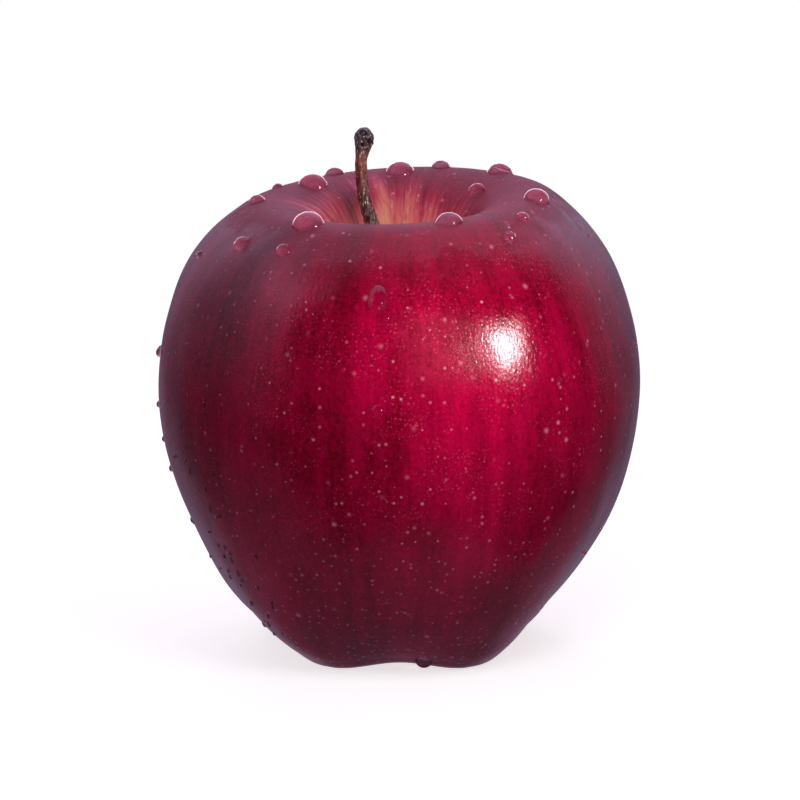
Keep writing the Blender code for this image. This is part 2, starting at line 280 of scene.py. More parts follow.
def link_or_set(tree, socket, value):
    """Links the value to the socket if it comes from a node, and sets it otherwise."""
    if isinstance(value, bpy.types.NodeSocket):
        tree.links.new(value, socket)
    else:
        socket.default_value = value


def add_node(tree, kind, inputs, **settings):
    """A new node with its inputs, by name or number, and its settings."""
    node = tree.nodes.new(kind)
    for name, value in settings.items():
        setattr(node, name, value)
    for key, value in inputs.items():
        link_or_set(tree, node.inputs[key], value)
    return node


def maths(tree, operation, first, second=0.0, third=0.0):
    """A sum of numbers or sockets: MULTIPLY_ADD is first times second plus third."""
    return add_node(tree, "ShaderNodeMath", {0: first, 1: second, 2: third}, operation=operation).outputs[0]


def blend(tree, share, first, second):
    """The first colour, turned into the second by the share."""
    node = add_node(tree, "ShaderNodeMix", {}, data_type="RGBA", blend_type="MIX")
    link_or_set(tree, node.inputs[0], share)
    link_or_set(tree, node.inputs[6], first)
    link_or_set(tree, node.inputs[7], second)
    return node.outputs[2]


def weighted(tree, *pairs):
    """The sum of value times weight over the pairs."""
    total = 0.0
    for value, weight in pairs:
        total = maths(tree, "MULTIPLY_ADD", value, weight, total)
    return total


def step_between(tree, value, low, high):
    """0 below low, 1 above high, smooth between; low may be above high."""
    node = add_node(tree, "ShaderNodeMapRange", {0: value, 1: low, 2: high, 3: 0.0, 4: 1.0},
                    interpolation_type="SMOOTHSTEP")
    return node.outputs[0]


def noise(tree, vector, scale, detail, roughness, distortion=0.0):
    """Soft noise that averages 0.5."""
    node = add_node(tree, "ShaderNodeTexNoise", {"Vector": vector, "Scale": scale, "Detail": detail,
                                                 "Roughness": roughness, "Distortion": distortion})
    return node.outputs["Fac"]


def ramp(tree, value, stops):
    """A colour ramp through stops of (position, red, green, blue)."""
    node = add_node(tree, "ShaderNodeValToRGB", {0: value})
    elements = node.color_ramp.elements
    elements[0].position, elements[0].color = stops[0][0], (*stops[0][1:], 1)
    elements[1].position, elements[1].color = stops[-1][0], (*stops[-1][1:], 1)
    for position, *shade in stops[1:-1]:
        elements.new(position).color = (*shade, 1)
    return node.outputs[0]


def dots(tree, vector, scale, radius, share):
    """Round soft dots: 1 in a dot's middle. Only the given share of the cells has one."""
    cells = add_node(tree, "ShaderNodeTexVoronoi", {"Vector": vector, "Scale": scale})
    chosen = add_node(tree, "ShaderNodeSeparateColor", {0: cells.outputs["Color"]})
    present = maths(tree, "LESS_THAN", chosen.outputs[0], share)
    size = maths(tree, "MULTIPLY_ADD", chosen.outputs[1], 0.6 * radius, 0.6 * radius)
    dot = step_between(tree, cells.outputs["Distance"], size, 0.0)
    bright = maths(tree, "MULTIPLY_ADD", chosen.outputs[2], 0.8, 0.2)
    return maths(tree, "MULTIPLY", maths(tree, "MULTIPLY", dot, present), bright)


def scaled(tree, vector, factors):
    return add_node(tree, "ShaderNodeVectorMath", {0: vector, 1: factors}, operation="MULTIPLY").outputs[0]


def new_material(name):
    material = bpy.data.materials.new(name)
    material.use_nodes = True
    tree = material.node_tree
    shader = tree.nodes["Principled BSDF"]
    return material, tree, shader


def streaks(tree, meridian, around, down, detail, roughness, distortion=0.0):
    """Noise drawn out along the meridians: its scale round the fruit, and per mm down it."""
    return noise(tree, scaled(tree, meridian, (around, around, down)), 1.0, detail, roughness, distortion)


def object_place(tree):
    """The place on the object, in metres."""
    return add_node(tree, "ShaderNodeTexCoord", {}).outputs["Object"]


def attribute(tree, name, output="Fac"):
    """A value that the mesh's vertices carry under the given name."""
    return add_node(tree, "ShaderNodeAttribute", {}, attribute_name=name).outputs[output]


def add_bump(tree, shader, height, strength, distance):
    bump = add_node(tree, "ShaderNodeBump", {"Strength": strength, "Distance": distance, "Height": height})
    tree.links.new(bump.outputs[0], shader.inputs["Normal"])


# ---------------------------------------------------------------- materials

def skin_material():
    """Waxy red skin: streaks, patches, pale pores and specks, a warm cavity, fine scratches, a dull rim."""
    material, tree, shader = new_material("apple_skin")
    place = object_place(tree)
    along = attribute(tree, "along")
    meridian = attribute(tree, "meridian", "Vector")

    colour = ground_colour(tree, place, along, meridian)
    colour = cavity_colour(tree, along, meridian, colour)
    halos, spots = lenticels(tree, place, along)
    speckled = step_between(tree, noise(tree, place, 110.0, 2.0, 0.5), 0.42, 0.58)
    specks = maths(tree, "MULTIPLY", dots(tree, place, 1900.0, 0.42, 0.85), speckled)
    colour = blend(tree, maths(tree, "MULTIPLY", specks, 0.7), colour, (0.86, 0.11, 0.20, 1))
    colour = blend(tree, maths(tree, "MULTIPLY", halos, 0.30), colour, (0.90, 0.06, 0.15, 1))
    colour = blend(tree, spots, colour, (1.0, 0.38, 0.50, 1))
    tree.links.new(colour, shader.inputs["Base Color"])

    scratches = streaks(tree, meridian, 90.0, 1.1, 3.0, 0.6)
    grain = noise(tree, place, 2100.0, 2.0, 0.5)
    rings = streaks(tree, meridian, 7.0, 2.0, 2.0, 0.5)
    rings = maths(tree, "MULTIPLY", rings, step_between(tree, along, 17.0, 3.0))
    height = weighted(tree, (scratches, 1.15), (grain, 0.70), (rings, 1.0), (spots, 0.5), (specks, 0.25))
    add_bump(tree, shader, height, 1.0, 0.000038)

    ragged = maths(tree, "MULTIPLY_ADD", noise(tree, place, 260.0, 3.0, 0.65), 16.0, along)
    dull = maths(tree, "MULTIPLY_ADD", step_between(tree, ragged, 18.5, 9.0), 0.42, 0.06)
    tree.links.new(maths(tree, "MULTIPLY_ADD", grain, 0.10, dull), shader.inputs["Roughness"])
    shader.inputs["IOR"].default_value = 1.5
    return material


def ground_colour(tree, place, along, meridian):
    """Crimson in bands that run from the stalk to the crown, duller at the crown and on the shoulder."""
    tone = weighted(tree,
                    (streaks(tree, meridian, 2.2, 0.018, 3.0, 0.55), 0.38),
                    (streaks(tree, meridian, 6.0, 0.012, 3.0, 0.6), 0.30),
                    (streaks(tree, meridian, 17.0, 0.045, 4.0, 0.65), 0.20),
                    (streaks(tree, meridian, 70.0, 0.14, 3.0, 0.6), 0.19),
                    (noise(tree, place, 75.0, 4.0, 0.6), 0.36),
                    (noise(tree, place, 1300.0, 2.0, 0.6), 0.28),
                    (noise(tree, place, 3400.0, 1.0, 0.5), 0.24))
    tone = maths(tree, "SUBTRACT", tone, 0.335)
    colour = ramp(tree, tone, ((0.50, 0.19, 0.0006, 0.012), (0.65, 0.44, 0.0006, 0.038),
                               (0.80, 0.68, 0.0010, 0.064)))
    low = step_between(tree, along, 55.0, 95.0)
    colour = blend(tree, maths(tree, "MULTIPLY", low, 0.5), colour, (0.20, 0.003, 0.022, 1))
    shoulder = step_between(tree, along, 16.0, 4.0)
    return blend(tree, maths(tree, "MULTIPLY", shoulder, 0.5), colour, (0.26, 0.020, 0.045, 1))


# The warm colours of the stem cavity, from its border to the stalk.
CAVITY_STOPS = ((0.10, 0.44, 0.026, 0.080), (0.28, 0.70, 0.065, 0.12), (0.44, 0.90, 0.24, 0.19),
                (0.60, 0.95, 0.48, 0.17), (0.76, 0.80, 0.56, 0.09), (0.94, 0.30, 0.24, 0.05))
# Pale, flushed and dark streaks over them: noise scales round and down, detail, roughness and distortion,
# the noise values between which a streak fades in, its strength and its colour.
CAVITY_STREAKS = (
    ((20.0, 0.34, 4.0, 0.7, 0.8), (0.52, 0.72), 0.6, (0.95, 0.50, 0.48, 1)),
    ((5.0, 0.12, 3.0, 0.6, 0.0), (0.50, 0.64), 0.65, (0.66, 0.022, 0.070, 1)),
    ((13.0, 0.22, 4.0, 0.7, 0.8), (0.50, 0.74), 0.6, (0.55, 0.025, 0.070, 1)))


def cavity_colour(tree, along, meridian, colour):
    """Inside the stem cavity: pink streaks that turn orange, then olive towards the stalk, with painted shade
    keeping the right side darker red.
    """
    depth = maths(tree, "MULTIPLY", along, -1.0)
    rays = streaks(tree, meridian, 9.0, 0.03, 5.0, 0.7)
    wide = streaks(tree, meridian, 2.6, 0.02, 2.0, 0.5)
    sides = add_node(tree, "ShaderNodeSeparateXYZ", {0: meridian})
    far_wall = step_between(tree, sides.outputs["Y"], 0.80, 0.99)
    # The X term paints shade: the cavity's right side, where shade falls, stays in the darker reds.
    reach = weighted(tree, (rays, 22.0), (wide, 14.0), (depth, 1.0), (sides.outputs["X"], -4.0),
                     (far_wall, 2.5))
    reach = maths(tree, "SUBTRACT", reach, 23.0)
    warm = ramp(tree, maths(tree, "DIVIDE", reach, 28.0), CAVITY_STOPS)
    for pattern, (low, high), strength, shade in CAVITY_STREAKS:
        share = step_between(tree, streaks(tree, meridian, *pattern), low, high)
        warm = blend(tree, maths(tree, "MULTIPLY", share, strength), warm, shade)
    inside = step_between(tree, reach, 2.0, 10.0)
    return blend(tree, inside, colour, warm)


def lenticels(tree, place, along):
    """The pale pores as halos and cores: sparse and large above, small and close together near the crown."""
    near_crown = step_between(tree, along, 35.0, 80.0)
    large = dots(tree, place, 330.0, 0.24, maths(tree, "MULTIPLY_ADD", near_crown, -0.2, 0.85))
    cores = maths(tree, "POWER", large, 2.0)
    small = dots(tree, place, 880.0, 0.32, maths(tree, "MULTIPLY_ADD", near_crown, 0.72, 0.16))
    return large, maths(tree, "MAXIMUM", cores, small)


def water_material():
    """Clear water, with faint ripples in its surface."""
    material, tree, shader = new_material("water_drop")
    ripple = noise(tree, object_place(tree), 900.0, 2.0, 0.5)
    add_bump(tree, shader, ripple, 0.03, 0.00005)
    tint = blend(tree, ripple, (1.0, 0.97, 0.98, 1), (0.97, 0.97, 1.0, 1))
    tree.links.new(tint, shader.inputs["Base Color"])
    shader.inputs["Roughness"].default_value = 0.01
    shader.inputs["IOR"].default_value = 1.333
    shader.inputs["Transmission Weight"].default_value = 1.0
    return material


# The colours of the bark's furrows and of its ridges, from the root to the knob.
BARK_FURROW_STOPS = ((0.0, 0.13, 0.05, 0.015), (0.35, 0.045, 0.020, 0.012), (0.62, 0.040, 0.014, 0.013),
                     (0.80, 0.20, 0.030, 0.016), (0.90, 0.020, 0.012, 0.014))
BARK_RIDGE_STOPS = ((0.0, 0.95, 0.80, 0.50), (0.34, 0.66, 0.46, 0.22), (0.50, 0.23, 0.075, 0.050),
                    (0.66, 0.24, 0.055, 0.040), (0.80, 0.42, 0.12, 0.060), (0.90, 0.14, 0.11, 0.12))


def bark_material():
    """Dry stalk bark: tan and speckled at the root, red-brown above, a dark wet knob at the top, and painted
    shade darkening its left side.
    """
    material, tree, shader = new_material("stalk_bark")
    place = object_place(tree)
    rise = attribute(tree, "rise")
    side = attribute(tree, "side")
    relief = attribute(tree, "relief")
    fibres = noise(tree, scaled(tree, place, (2600.0, 2600.0, 420.0)), 1.0, 4.0, 0.65)
    flecks = noise(tree, scaled(tree, place, (2600.0, 2600.0, 1700.0)), 1.0, 3.0, 0.6)
    level = maths(tree, "MULTIPLY_ADD", flecks, 0.16, maths(tree, "SUBTRACT", rise, 0.08))
    dark = ramp(tree, level, BARK_FURROW_STOPS)
    pale = ramp(tree, level, BARK_RIDGE_STOPS)
    share = step_between(tree, weighted(tree, (fibres, 0.4), (flecks, 0.3), (relief, 0.3)), 0.45, 0.58)
    colour = blend(tree, share, dark, pale)
    flakes = dots(tree, scaled(tree, place, (1.0, 1.0, 0.4)), 3000.0, 0.50, 0.7)
    colour = blend(tree, flakes, colour, (1.0, 0.88, 0.72, 1))
    # Painted shade: the stalk's left side, away from the light, is darkened nearly to black.
    painted_shade = step_between(tree, weighted(tree, (side, 1.0), (flecks, 0.8)), 0.55, 0.25)
    colour = blend(tree, maths(tree, "MULTIPLY", painted_shade, 0.7), colour, (0.030, 0.026, 0.022, 1))
    tree.links.new(colour, shader.inputs["Base Color"])
    wet = step_between(tree, rise, 0.84, 0.90)
    dry = maths(tree, "MULTIPLY_ADD", fibres, 0.2, 0.44)
    tree.links.new(maths(tree, "MULTIPLY_ADD", wet, -0.40, dry), shader.inputs["Roughness"])
    add_bump(tree, shader, weighted(tree, (fibres, 0.6), (flecks, 0.6)), 0.9, 0.00014)
    return material


def dried_leaf_material():
    """The brown, crumpled, hairy remains of the flower."""
    material, tree, shader = new_material("dried_flower")
    place = object_place(tree)
    veins = noise(tree, scaled(tree, place, (1500.0, 1500.0, 600.0)), 1.0, 4.0, 0.65)
    down = noise(tree, place, 6000.0, 2.0, 0.6)
    tone = maths(tree, "MULTIPLY_ADD", veins, 0.7, maths(tree, "MULTIPLY", down, 0.3))
    brown = ramp(tree, tone, ((0.32, 0.030, 0.015, 0.008), (0.52, 0.11, 0.055, 0.025),
                              (0.72, 0.28, 0.17, 0.085)))
    tree.links.new(brown, shader.inputs["Base Color"])
    tree.links.new(maths(tree, "MULTIPLY_ADD", veins, 0.2, 0.7), shader.inputs["Roughness"])
    add_bump(tree, shader, veins, 0.9, 0.0001)
    return material


# ---------------------------------------------------------------- pieces

def finish_piece(piece, material, slot, *nodes):
    """Gives a piece its material and its body, and hides the CAD nodes that it stands for."""
    piece.data.materials.append(material)
    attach(piece, "root")
    if nodes:
        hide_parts(*nodes)
    return piece


def make_skin(skin):
    """The fruit's skin. Its vertices know their distance from the rim in mm, and their direction in plan."""
    distance = np.linspace(skin.start, skin.end, SKIN_ROWS)
    azimuth = np.linspace(0.0, 2 * math.pi, SKIN_COLUMNS, endpoint=False)
    rows, columns = np.meshgrid(distance, azimuth, indexing="ij")
    piece = grid_object("apple_fruit", skin.points(rows, columns), True, True)
    along = np.concatenate([rows.ravel(), distance[[0, -1]]]) / MM
    around = np.stack([np.sin(columns), -np.cos(columns)], -1).reshape(-1, 2)
    around = np.vstack([around, np.zeros((2, 2))])  # the two poles have no direction
    add_attribute(piece, "along", along)
    add_attribute(piece, "meridian", np.column_stack([around, along]))
    return finish_piece(piece, skin_material(), "skin", "fruit")


def node_vertices(name):
    """The vertices of a CAD node, as an array (vertices, 3)."""
    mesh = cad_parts[name].data
    places = np.empty(len(mesh.vertices) * 3, np.float32)
    mesh.vertices.foreach_get("co", places)
    return places.reshape(-1, 3).astype(float)


def on_skin(skin, places):
    """For each place, the distance and azimuth of the skin under it, and its height over the skin."""
    azimuth = np.arctan2(places[:, 0], -(places[:, 1] + BODY_RADIUS * SWELL_CHEEK))
    table = np.linspace(skin.start, skin.end, SEARCH_ROWS)
    points = skin.points(table[None, :], azimuth[:, None])
    reach = np.linalg.norm(points - places[:, None, :], axis=-1)
    nearest = reach.argmin(axis=1)
    return table[nearest], azimuth, reach.min(axis=1)


def local_scales(skin, distance, azimuth):
    """Metres along the skin per metre of distance, and per radian of azimuth."""
    turn = PROBE / skin.plain(distance)[0]
    down = skin.points(distance + PROBE, azimuth) - skin.points(distance - PROBE, azimuth)
    around = skin.points(distance, azimuth + turn) - skin.points(distance, azimuth - turn)
    return np.linalg.norm(down) / (2 * PROBE), np.linalg.norm(around) / (2 * turn)


def cap_points(skin, distance, azimuth, width, length, height, sag, wobble, rings, sides,
               edge_angle=EDGE_ANGLE):
    """Rows of a closed drop on the skin: under side from the middle out, then up over its back."""
    per_distance, per_azimuth = local_scales(skin, distance, azimuth)
    slope = edge_angle * (1.0 - np.arange(rings) / rings)
    spread = np.sin(slope) / np.sin(edge_angle)
    rise = (np.cos(slope) - np.cos(edge_angle)) / (1.0 - np.cos(edge_angle))
    under = np.linspace(0.1, 1.0, 4, endpoint=False)
    spread = np.concatenate([under, spread])[:, None]
    lift = np.concatenate([np.full(len(under), -DROP_SINK), (height + DROP_SINK) * rise - DROP_SINK])
    lift = lift[:, None]
    turns = np.linspace(0, 2 * math.pi, sides, endpoint=False)[None, :]
    outline = 1.0 + wobble[0] * np.sin(2 * turns + wobble[1]) + wobble[2] * np.sin(3 * turns + wobble[3])
    down = length / 2 * (spread * outline * np.sin(turns) + sag * np.clip(lift / height, 0, 1)) / per_distance
    around = width / 2 * spread * outline * np.cos(turns) / per_azimuth
    where = distance + down, azimuth + around
    return skin.points(*where) + skin.normals(*where) * lift[..., None]


def draw_wobble(rng, twofold, threefold):
    """How an outline leaves its ellipse: size and phase of a twofold and of a threefold wave."""
    return rng.uniform(*twofold), rng.uniform(*PHASES), rng.uniform(*threefold), rng.uniform(*PHASES)


def make_drops(skin, water, water_pieces):
    """A drop of water in place of each CAD drop, with its place and size."""
    rng = np.random.default_rng(7)
    names = sorted(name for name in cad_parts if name.startswith("water_drop_"))
    for name in names:
        distance, azimuth, reach = on_skin(skin, node_vertices(name))
        azimuth = np.unwrap(azimuth, period=2 * math.pi) if np.ptp(azimuth) > math.pi else azimuth
        middle = (distance.min() + distance.max()) / 2, (azimuth.min() + azimuth.max()) / 2
        radius = skin.plain(middle[0])[0]
        size = np.ptp(azimuth) * radius, np.ptp(distance), reach.max() - CAD_GAP / 2
        steep = abs(skin.normals(*middle)[2]) < STEEP_RISE
        wobble = draw_wobble(rng, (0.01, 0.035), (0.005, 0.02))
        sag, edge_angle = (STEEP_SAG, STEEP_EDGE_ANGLE) if steep else (SAG, EDGE_ANGLE)
        points = cap_points(skin, *middle, *size, sag, wobble, DROP_RINGS, DROP_SIDES, edge_angle)
        piece = finish_piece(grid_object(name + "_water", points, True, True), water, "water", name)
        if not steep:
            water_pieces.objects.link(piece)


def droplet_spots(rng):
    """Distance, azimuth, width and length of the small droplets: left flank, every side, mist, outline."""
    spots = []
    for _ in range(LEFT_DROPLETS):
        distance = rng.uniform(*LEFT_DISTANCES)
        azimuth = rng.normal(LEFT_AZIMUTH + LEFT_TURN * (distance - LEFT_DISTANCES[0]), LEFT_SPREAD)
        width = rng.uniform(0.35, 0.7)
        spots.append((distance, azimuth, width, width * rng.uniform(1.3, 2.6)))
    for _ in range(SIDE_DROPLETS):
        width = rng.uniform(0.4, 1.1)
        distance, azimuth = rng.uniform(*SIDE_DISTANCES), rng.uniform(*SIDE_AZIMUTHS)
        spots.append((distance, azimuth, width, width * rng.uniform(1.0, 1.5)))
    for _ in range(MIST_DROPLETS):
        width = rng.uniform(0.26, 0.52)
        distance, azimuth = rng.uniform(*MIST_DISTANCES), rng.normal(MIST_AZIMUTH, MIST_SPREAD)
        spots.append((distance, azimuth, width, width))
    for distance, azimuth, width in OUTLINE_DROPLETS:
        spots.append((distance, azimuth, width, width * OUTLINE_LENGTH))
    return spots


def make_droplets(skin, water, water_pieces):
    """The small droplets, joined into one piece."""
    rng = np.random.default_rng(21)
    pieces = []
    for distance, azimuth, width, length in droplet_spots(rng):
        wobble = draw_wobble(rng, (0.01, 0.05), (0.0, 0.03))
        points = cap_points(skin, distance * MM, math.radians(azimuth), width * MM, length * MM,
                            DROPLET_HEIGHT * width * MM, DROPLET_SAG, wobble, DROPLET_RINGS, DROPLET_SIDES)
        pieces.append(grid_object("droplet", points, True, True))
    droplets = finish_piece(join_pieces(pieces, "small_droplets"), water, "water")
    water_pieces.objects.link(droplets)


def stalk_line(rows):
    """Centres, directions and radii along the CAD stalk, from its own vertices."""
    places = node_vertices("stem")
    low, high = places[:, 2].min(), places[:, 2].max()
    levels = np.linspace(low, high, rows)
    weight = np.exp(-((levels[:, None] - places[None, :, 2]) / STALK_SOFTNESS) ** 2)
    weight /= weight.sum(axis=1, keepdims=True)
    centres = weight @ places
    centres[:, 2] = levels
    directions = np.gradient(centres, axis=0)
    directions /= np.linalg.norm(directions, axis=1, keepdims=True)
    offsets = places[None] - centres[:, None]
    offsets -= (offsets * directions[:, None]).sum(-1, keepdims=True) * directions[:, None]
    radii = (weight * np.linalg.norm(offsets, axis=-1)).sum(axis=1)
    return centres, directions, radii


def rough(place, size, octaves):
    """Turbulence between about -1 and 1, for one place in metres and a feature size in metres."""
    return turbulence.fractal(Vector(place) / size, 1.0, 2.0, octaves)


def stalk_surface(centres, directions, radii, share, turns):
    """The stalk's points, and how far its bark stands up at each of them."""
    points = np.empty((len(share), len(turns), 3))
    relief = np.empty((len(share), len(turns)))
    knob = smooth_step(*KNOB, share)
    end = np.sqrt(np.clip(1 - np.clip((share - KNOB_TIP) / KNOB_ROUNDING, 0, 1) ** 2, 0, 1))
    for row, height in enumerate(share):
        across = Vector((1, 0, 0)) - Vector(directions[row]) * directions[row][0]
        across.normalize()
        behind = Vector(directions[row]).cross(across)
        for column, turn in enumerate(turns):
            outward = across * math.cos(turn) + behind * math.sin(turn)
            base = Vector(centres[row]) + outward * radii[row]
            ridges = 0.5 * math.sin(5 * turn + 2.2 + 3 * height) + 0.5 * math.sin(8 * turn + 5 * height)
            grain = rough((base.x, base.y, base.z * 0.35), GRAIN_SIZE, 3)
            lumps = rough(base, LUMP_SIZE, 3)
            relief[row, column] = 0.5 + 0.5 * grain
            swell = (0.05 * ridges + 0.11 * grain) * (1 - knob[row]) + 0.24 * lumps * knob[row]
            radius = radii[row] * (0.3 + 0.7 * end[row]) + swell * MM
            points[row, column] = Vector(centres[row]) + outward * radius
    return points, relief


def make_stalk():
    """The stalk, with ridged bark and a lumpy knob. Its vertices know their height, their side, which the
    bark's painted shade reads, and their relief.
    """
    share = np.linspace(0, 1, STALK_ROWS)
    turns = np.linspace(0, 2 * math.pi, STALK_SIDES, endpoint=False)
    points, relief = stalk_surface(*stalk_line(STALK_ROWS), share, turns)
    # The side is 1 on the right and 0 on the left; the bark paints shade on the left from it.
    side = np.tile(np.cos(turns), STALK_ROWS) * 0.5 + 0.5
    piece = grid_object("apple_stalk", points, True, True)
    add_attribute(piece, "rise", np.concatenate([np.repeat(share, STALK_SIDES), [0.0, 1.0]]))
    add_attribute(piece, "side", np.concatenate([side, [0.5, 0.5]]))
    add_attribute(piece, "relief", np.concatenate([relief.ravel(), [0.5, 0.5]]))
    finish_piece(piece, bark_material(), "bark", "stem")


def make_calyx():
    """The five sepals, smoothed and crumpled from their CAD shapes, and the tuft between them."""
    leaf = dried_leaf_material()
    for number in range(1, LOBES + 1):
        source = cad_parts[f"sepal_{number}"]
        piece = bpy.data.objects.new(f"sepal_{number}_leaf", source.data.copy())
        piece.data.materials.clear()
        bpy.context.scene.collection.objects.link(piece)
        smooth = piece.modifiers.new("smooth", "SUBSURF")
        smooth.levels = smooth.render_levels = 3
        bpy.context.view_layer.update()
        fine = bpy.data.meshes.new_from_object(piece.evaluated_get(bpy.context.evaluated_depsgraph_get()))
        piece.modifiers.clear()
        piece.data = fine
        normals = [vertex.normal.copy() for vertex in fine.vertices]
        for vertex, normal in zip(fine.vertices, normals):
            vertex.co += normal * rough(vertex.co, SEPAL_CRUMPLE_SIZE, 3) * SEPAL_CRUMPLE
        fine.shade_smooth()
        finish_piece(piece, leaf, "dried_calyx", f"sepal_{number}")
    make_stamens(leaf)


def make_stamens(leaf):
    """A tuft of thin withered filaments in place of the CAD tuft."""
    low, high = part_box("dried_stamens")
    rng = np.random.default_rng(5)
    steps = np.linspace(0, 1, STRAND_STEPS)
    turns = np.linspace(0, 2 * math.pi, STRAND_SIDES, endpoint=False)
    thick = STRAND_RADIUS * (1.0 + 0.5 * np.exp(-((steps - 0.93) / 0.06) ** 2))
    strands = []
    for number in range(STRANDS):
        turn = number * GOLDEN_ANGLE
        start = TUFT_RADIUS * math.sqrt((number + 0.5) / STRANDS)
        reach = rng.uniform(0.65, 1.0)
        bend = turn + rng.uniform(-0.8, 0.8)
        x = (low.x + high.x) / 2 + start * math.cos(turn) + STRAND_BEND * steps**2 * math.cos(bend)
        y = (low.y + high.y) / 2 + start * math.sin(turn) + STRAND_BEND * steps**2 * math.sin(bend)
        z = high.z - (high.z - low.z) * reach * steps
        ring_x = x[:, None] + thick[:, None] * np.cos(turns)
        ring_y = y[:, None] + thick[:, None] * np.sin(turns)
        rings = np.stack([ring_x, ring_y, np.repeat(z[:, None], STRAND_SIDES, axis=1)], -1)
        strands.append(grid_object("strand", rings, True, True))
    finish_piece(join_pieces(strands, "dried_stamens_tuft"), leaf, "dried_calyx", "dried_stamens")


# ---------------------------------------------------------------- stage

def make_floor():
    """A pale floor that takes the apple's shadow, and turns plain white away from it."""
    mesh = bpy.data.meshes.new("floor")
    reach = FLOOR_REACH
    mesh.from_pydata([(-reach, -reach, 0), (reach, -reach, 0), (reach, reach, 0), (-reach, reach, 0)], [],
                     [(0, 1, 2, 3)])
    floor = bpy.data.objects.new("floor", mesh)
    bpy.context.scene.collection.objects.link(floor)
    mesh.materials.append(floor_material())
    floor.location.z = -FLOOR_CLEARANCE
    floor.visible_glossy = False
    floor.visible_diffuse = False
    floor.visible_transmission = False


def floor_material():
    material, tree, shader = new_material("pale_floor")
    shader.inputs["Base Color"].default_value = (0.90, 0.90, 0.90, 1)
    shader.inputs["Roughness"].default_value = 0.9
    shader.inputs["Specular IOR Level"].default_value = 0.0
    shader.inputs["Emission Color"].default_value = WHITE
    shader.inputs["Emission Strength"].default_value = 0.72
    away = add_node(tree, "ShaderNodeVectorMath", {0: object_place(tree)},
                    operation="LENGTH").outputs["Value"]
    white = add_node(tree, "ShaderNodeEmission", {"Color": WHITE, "Strength": 1.0})
    mixed = add_node(tree, "ShaderNodeMixShader", {0: step_between(tree, away, *SHADOW_RADII),
                                                   1: shader.outputs[0], 2: white.outputs[0]})
    tree.links.new(mixed.outputs[0], tree.nodes["Material Output"].inputs["Surface"])
    return material


def toward(azimuth, elevation):
    """The direction at an azimuth, which runs from the front towards +X, and an elevation, in degrees."""
    turn, lift = math.radians(azimuth), math.radians(elevation)
    return Vector((math.sin(turn) * math.cos(lift), -math.cos(turn) * math.cos(lift), math.sin(lift)))


def add_light(name, azimuth, elevation, distance, width, height, radiance, colour, even=False):
    """A softbox that looks at the apple's middle. An even one lights surfaces, others are only mirrored."""
    data = bpy.data.lights.new(name, "AREA")
    data.shape = "RECTANGLE"
    data.size, data.size_y = width, height
    data.energy = radiance * math.pi * width * height
    data.color = colour
    light = bpy.data.objects.new(name, data)
    bpy.context.scene.collection.objects.link(light)
    direction = toward(azimuth, elevation)
    light.location = APPLE_MIDDLE + direction * distance
    light.rotation_euler = direction.to_track_quat("Z", "Y").to_euler()
    light.visible_camera = False
    light.visible_transmission = False
    light.visible_glossy = not even
    light.visible_diffuse = even
    return light


def make_lights(water_pieces):
    """The key with its soft surround and its narrow edge, two even fills, and a strip only for the water."""
    add_light("key", 48.0, 22.0, 0.9, 0.15, 0.21, 44.0, (1.0, 0.97, 0.98))
    add_light("key_glow", 48.0, 21.0, 0.92, 0.26, 0.38, 5.0, (1.0, 0.90, 0.95))
    add_light("key_edge", 30.5, 21.0, 0.9, 0.010, 0.15, 34.0, (1.0, 0.90, 0.95))
    add_light("near_fill", 17, 27, 0.088, 0.035, 0.035, 7.0, (1.0, 0.96, 0.97), even=True)
    add_light("back_fill", 195, 8, 0.35, 0.2, 0.2, 3.5, (1.0, 0.95, 0.97), even=True)
    sheen = add_light("drop_sheen", 180, 8, 0.9, 1.8, 0.34, 3.2, (1.0, 0.86, 0.94))
    sheen.light_linking.receiver_collection = water_pieces
    make_cavity_light()


def make_cavity_light():
    """A narrow soft spot on the far wall of the stem cavity."""
    data = bpy.data.lights.new("cavity_spot", "SPOT")
    data.energy = 0.55
    data.color = (1.0, 0.95, 0.96)
    data.shadow_soft_size = 0.012
    data.spot_size = math.radians(13)
    data.spot_blend = 1.0
    light = bpy.data.objects.new("cavity_spot", data)
    bpy.context.scene.collection.objects.link(light)
    light.location = CAVITY_LIGHT_PLACE
    light.rotation_euler = (CAVITY_LIGHT_PLACE - CAVITY_LIGHT_TARGET).to_track_quat("Z", "Y").to_euler()
    light.visible_camera = light.visible_glossy = light.visible_transmission = False


def lobe(tree, direction, azimuth, elevation, wide, narrow):
    """1 near the given direction, 0 away from it; wide and narrow are cosines of its two borders."""
    cosine = add_node(tree, "ShaderNodeVectorMath", {0: direction, 1: toward(azimuth, elevation)},
                      operation="DOT_PRODUCT").outputs["Value"]
    return step_between(tree, cosine, wide, narrow)


def mirrored_strength(tree, direction, axes):
    """What surfaces mirror: a grey studio, darker in front, brighter behind, with two dim places in it."""
    level = maths(tree, "MULTIPLY_ADD", axes.outputs["Z"], 0.5, 0.5)
    strength = ramp(tree, level, [(place, grey, grey, grey) for place, grey in STUDIO_GREYS])
    open_front = maths(tree, "SUBTRACT", 1.0, lobe(tree, direction, 27, 8, 0.06, 0.20))
    behind = maths(tree, "MULTIPLY_ADD", step_between(tree, axes.outputs["Y"], 0.46, 1.0), 1.9, 1.0)
    left_gap = maths(tree, "MULTIPLY_ADD", lobe(tree, direction, -154, 28, 0.67, 1.0), -0.38, 1.0)
    top_gap = maths(tree, "MULTIPLY_ADD", lobe(tree, direction, -72, 70, 0.93, 0.99), -0.85, 1.0)
    for factor in (open_front, behind):
        strength = maths(tree, "MULTIPLY", strength, factor)
    strength = maths(tree, "MULTIPLY_ADD", strength, maths(tree, "MULTIPLY", left_gap, top_gap), 0.012)
    below = step_between(tree, axes.outputs["Z"], -0.6, -0.9)
    return maths(tree, "MAXIMUM", strength, maths(tree, "MULTIPLY", below, 0.13))


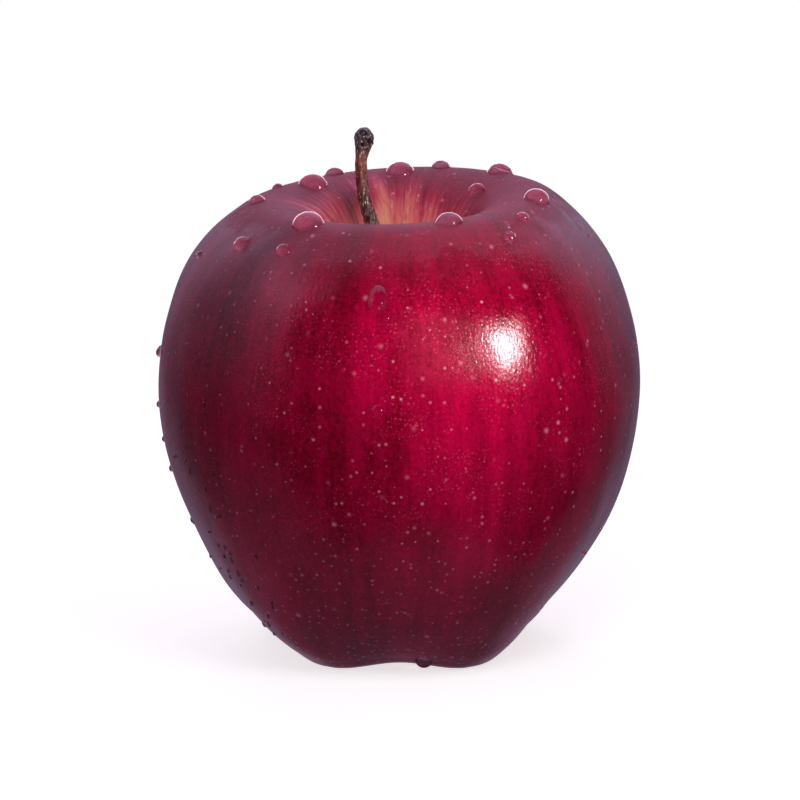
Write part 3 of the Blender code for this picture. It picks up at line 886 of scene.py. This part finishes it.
def even_strength(tree, direction, axes, mirrored, wet):
    """What lights surfaces: a dimmed studio and the table, and under water the light that it focuses."""
    right = maths(tree, "MULTIPLY_ADD", step_between(tree, axes.outputs["X"], -0.6, 0.8), 0.16, 0.06)
    table = maths(tree, "MULTIPLY", step_between(tree, axes.outputs["Z"], -0.1, -0.9), right)
    strength = maths(tree, "ADD", weighted(tree, (mirrored, 0.52), (table, 1.0)), 0.045)
    strength = maths(tree, "MULTIPLY", strength, maths(tree, "MULTIPLY_ADD", wet, -0.7, 1.0))
    focus = maths(tree, "MULTIPLY", wet, lobe(tree, direction, 45, 38, 0.92, 0.995))
    backlit = maths(tree, "MULTIPLY", wet, lobe(tree, direction, 180, 42, 0.80, 0.97))
    return weighted(tree, (focus, 9.0), (backlit, 1.4), (strength, 1.0))


def make_world():
    """The studio round the apple; white where the camera looks past it, mauve where it does through water."""
    world = bpy.data.worlds.new("studio")
    world.use_nodes = True
    world.cycles.sampling_method = "NONE"
    tree = world.node_tree
    direction = add_node(tree, "ShaderNodeTexCoord", {}).outputs["Generated"]
    axes = add_node(tree, "ShaderNodeSeparateXYZ", {0: direction})
    path = add_node(tree, "ShaderNodeLightPath", {})
    lit = maths(tree, "GREATER_THAN", path.outputs["Diffuse Depth"], 0.5)
    wet = maths(tree, "GREATER_THAN", path.outputs["Transmission Depth"], 0.5)
    mirrored = mirrored_strength(tree, direction, axes)
    even = even_strength(tree, direction, axes, mirrored, wet)
    strength = weighted(tree, (even, lit), (mirrored, maths(tree, "SUBTRACT", 1.0, lit)))
    studio = add_node(tree, "ShaderNodeBackground", {"Color": STUDIO_COLOUR, "Strength": strength})
    through = add_node(tree, "ShaderNodeBackground", {"Color": THROUGH_WATER_COLOUR, "Strength": 1.0})
    past = add_node(tree, "ShaderNodeBackground", {"Color": WHITE, "Strength": 1.0})
    seen = add_node(tree, "ShaderNodeMixShader", {0: wet, 1: past.outputs[0], 2: through.outputs[0]})
    bounced = maths(tree, "MAXIMUM", lit, maths(tree, "GREATER_THAN", path.outputs["Glossy Depth"], 0.5))
    mixed = add_node(tree, "ShaderNodeMixShader", {0: bounced, 1: seen.outputs[0], 2: studio.outputs[0]})
    tree.links.new(mixed.outputs[0], tree.nodes["World Output"].inputs["Surface"])
    bpy.context.scene.world = world


def make_camera():
    """A long lens, level across, that looks slightly down at the apple."""
    data = bpy.data.cameras.new("camera")
    camera = bpy.data.objects.new("camera", data)
    bpy.context.scene.collection.objects.link(camera)
    back = Vector((0, -math.cos(CAMERA_ELEVATION), math.sin(CAMERA_ELEVATION)))
    camera.location = CAMERA_TARGET + back * CAMERA_DISTANCE
    camera.rotation_euler = back.to_track_quat("Z", "Y").to_euler()
    data.sensor_width = SENSOR_WIDTH
    data.lens = SENSOR_WIDTH * CAMERA_DISTANCE / VIEW_WIDTH
    data.clip_start = 0.01
    bpy.context.scene.camera = camera


def main():
    skin = Skin()
    water_pieces = bpy.data.collections.new("water")
    make_camera()
    make_lights(water_pieces)
    make_world()
    make_floor()
    make_skin(skin)
    make_stalk()
    make_calyx()
    water = water_material()
    make_drops(skin, water, water_pieces)
    make_droplets(skin, water, water_pieces)
    bpy.context.scene.view_settings.view_transform = "Standard"


main()
